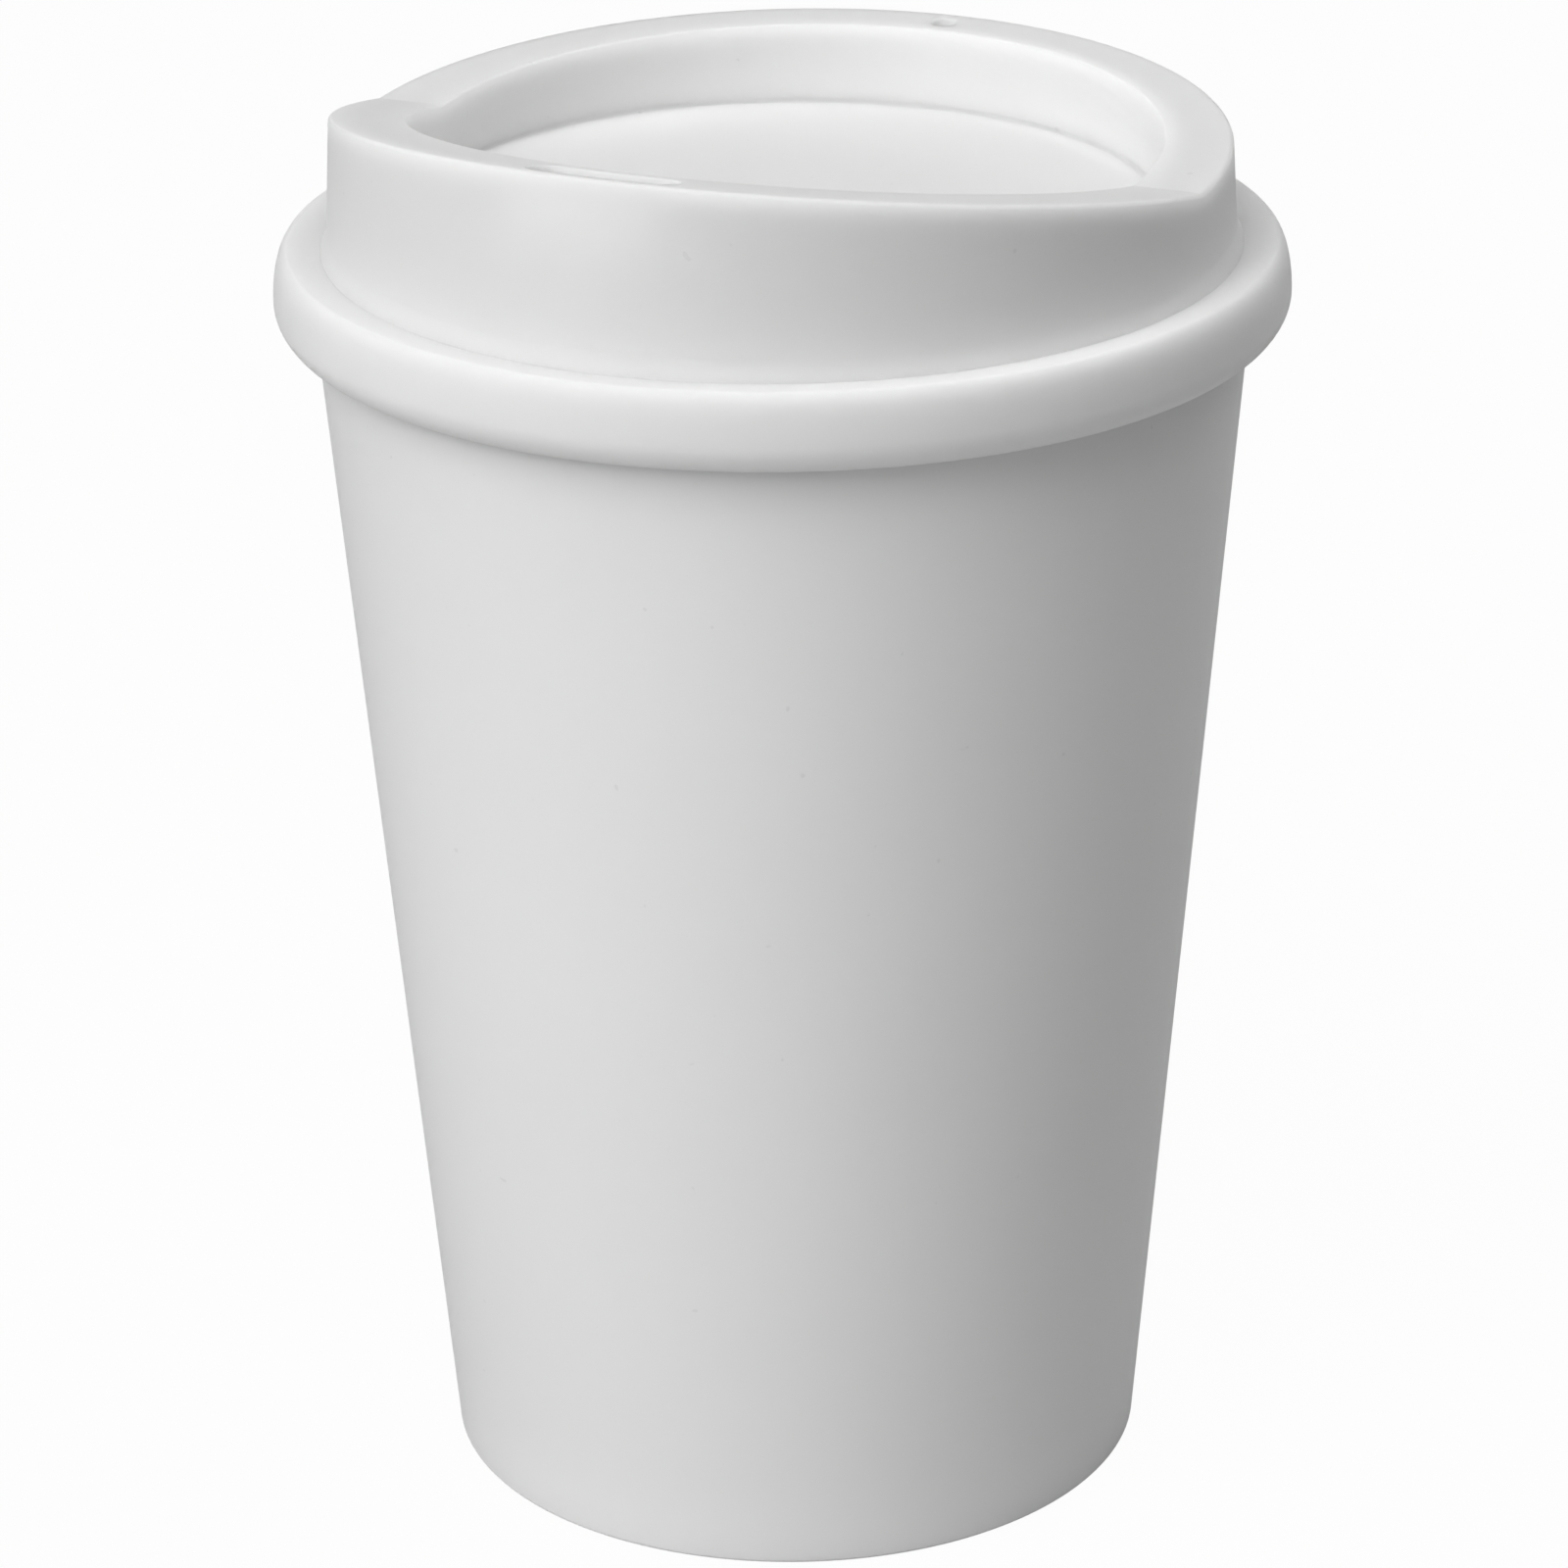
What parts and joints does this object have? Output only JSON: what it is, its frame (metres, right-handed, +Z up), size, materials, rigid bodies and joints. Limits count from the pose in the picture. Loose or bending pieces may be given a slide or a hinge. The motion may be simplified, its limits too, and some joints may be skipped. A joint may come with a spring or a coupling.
{
  "type": "reusable coffee cup",
  "caption": "Tapered single wall drinking cup with a push-on sip lid that covers the brim and lifts off.",
  "frame": {"origin": "centre of the foot ring, on the surface that the cup stands on", "axes": "+Z up along the cup's axis, -Y towards the sip slot, +Y towards the vent hole"},
  "size_m": [0.088, 0.088, 0.1291],
  "materials": {
    "cup_plastic": "fine matte moulded polypropylene",
    "lid_plastic": "smooth satin moulded polypropylene"
  },
  "bodies": {
    "cup": {"cup": "cup_plastic"},
    "lid": {"lid": "lid_plastic"}
  },
  "joints": [
    {"name": "lid_lift", "type": "slide", "parent": "cup", "child": "lid", "axis": [0, 0, 1], "range_m": [0, 0.05]}
  ]
}
